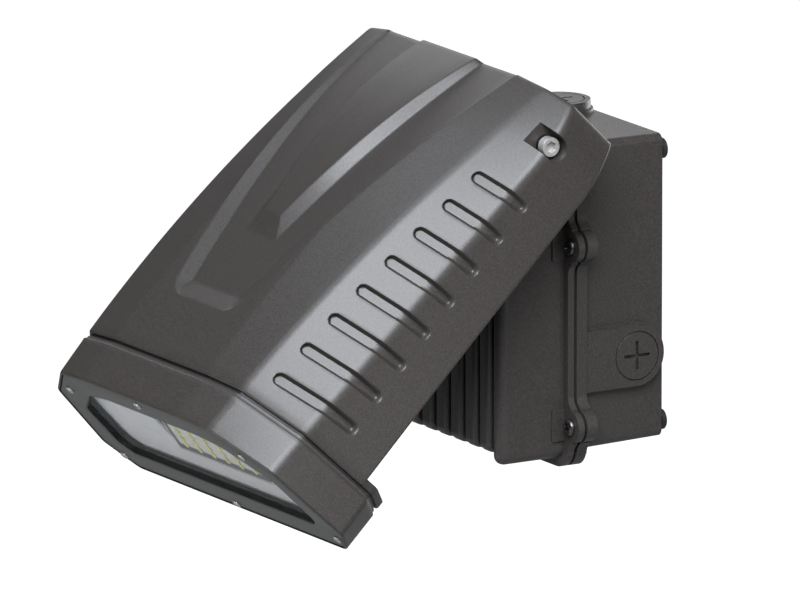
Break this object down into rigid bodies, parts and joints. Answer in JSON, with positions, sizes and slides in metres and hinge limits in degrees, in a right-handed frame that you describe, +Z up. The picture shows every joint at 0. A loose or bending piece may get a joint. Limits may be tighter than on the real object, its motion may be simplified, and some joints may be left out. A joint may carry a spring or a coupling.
{
  "type": "wall pack light",
  "caption": "Outdoor wall light: ribbed square wall box with conduit entries, carrying a large tapered hood with a glazed lamp window that tilts on a friction pivot.",
  "frame": {"origin": "centre of the four corner fixing bosses, in the plane of their faces on the wall", "axes": "-Y out of the wall towards the viewer, +X to the viewer's right, +Z up"},
  "size_m": [0.2266, 0.2588, 0.2126],
  "materials": {
    "housing_paint": "bronze-grey fine-texture powder coat on die-cast aluminium",
    "frame_paint": "satin dark grey powder coat on sheet",
    "rubber_black": "black silicone",
    "terminal_plastic": "natural polyamide",
    "zinc_steel": "zinc plated steel",
    "green_steel": "green painted earth screw",
    "screw_steel": "stainless steel",
    "driver_case": "satin aluminium case",
    "gland_plastic": "black polyamide",
    "bare_aluminium": "bare extruded aluminium",
    "board_white": "white solder mask",
    "led_phosphor": "yellow phosphor lamps",
    "reflector_white": "satin white reflector",
    "clear_glass": "clear tempered glass"
  },
  "bodies": {
    "box": {"back_box": "housing_paint", "wall_pads": "rubber_black", "conduit_plugs": "housing_paint", "conduit_seals": "rubber_black", "terminal_block": "terminal_plastic", "terminal_screws": "zinc_steel", "ground_screw": "green_steel", "box_gasket": "rubber_black", "front_cover": "housing_paint", "cover_screws": "screw_steel", "driver": "driver_case", "driver_screws": "zinc_steel", "cover_gland": "gland_plastic", "cover_gland_nut": "gland_plastic", "pivot_screws": "screw_steel", "pivot_washers": "zinc_steel", "friction_discs": "zinc_steel"},
    "head": {"head_hood": "housing_paint", "ring_gasket": "rubber_black", "front_ring": "housing_paint", "ring_screws": "zinc_steel", "heat_sink": "bare_aluminium", "heat_sink_screws": "zinc_steel", "head_gland": "gland_plastic", "head_gland_nut": "gland_plastic", "lamp_block": "bare_aluminium", "led_board": "board_white", "board_screws": "zinc_steel", "leds": "led_phosphor", "reflector": "reflector_white", "lens_gasket": "rubber_black", "lens_glass": "clear_glass", "lens_frame": "frame_paint", "frame_screws": "screw_steel"}
  },
  "joints": [
    {"name": "head_tilt", "type": "hinge", "parent": "box", "child": "head", "pos_m": [0, -0.0826, 0.0827], "axis": [1, 0, 0], "range_deg": [-45, 45]}
  ]
}
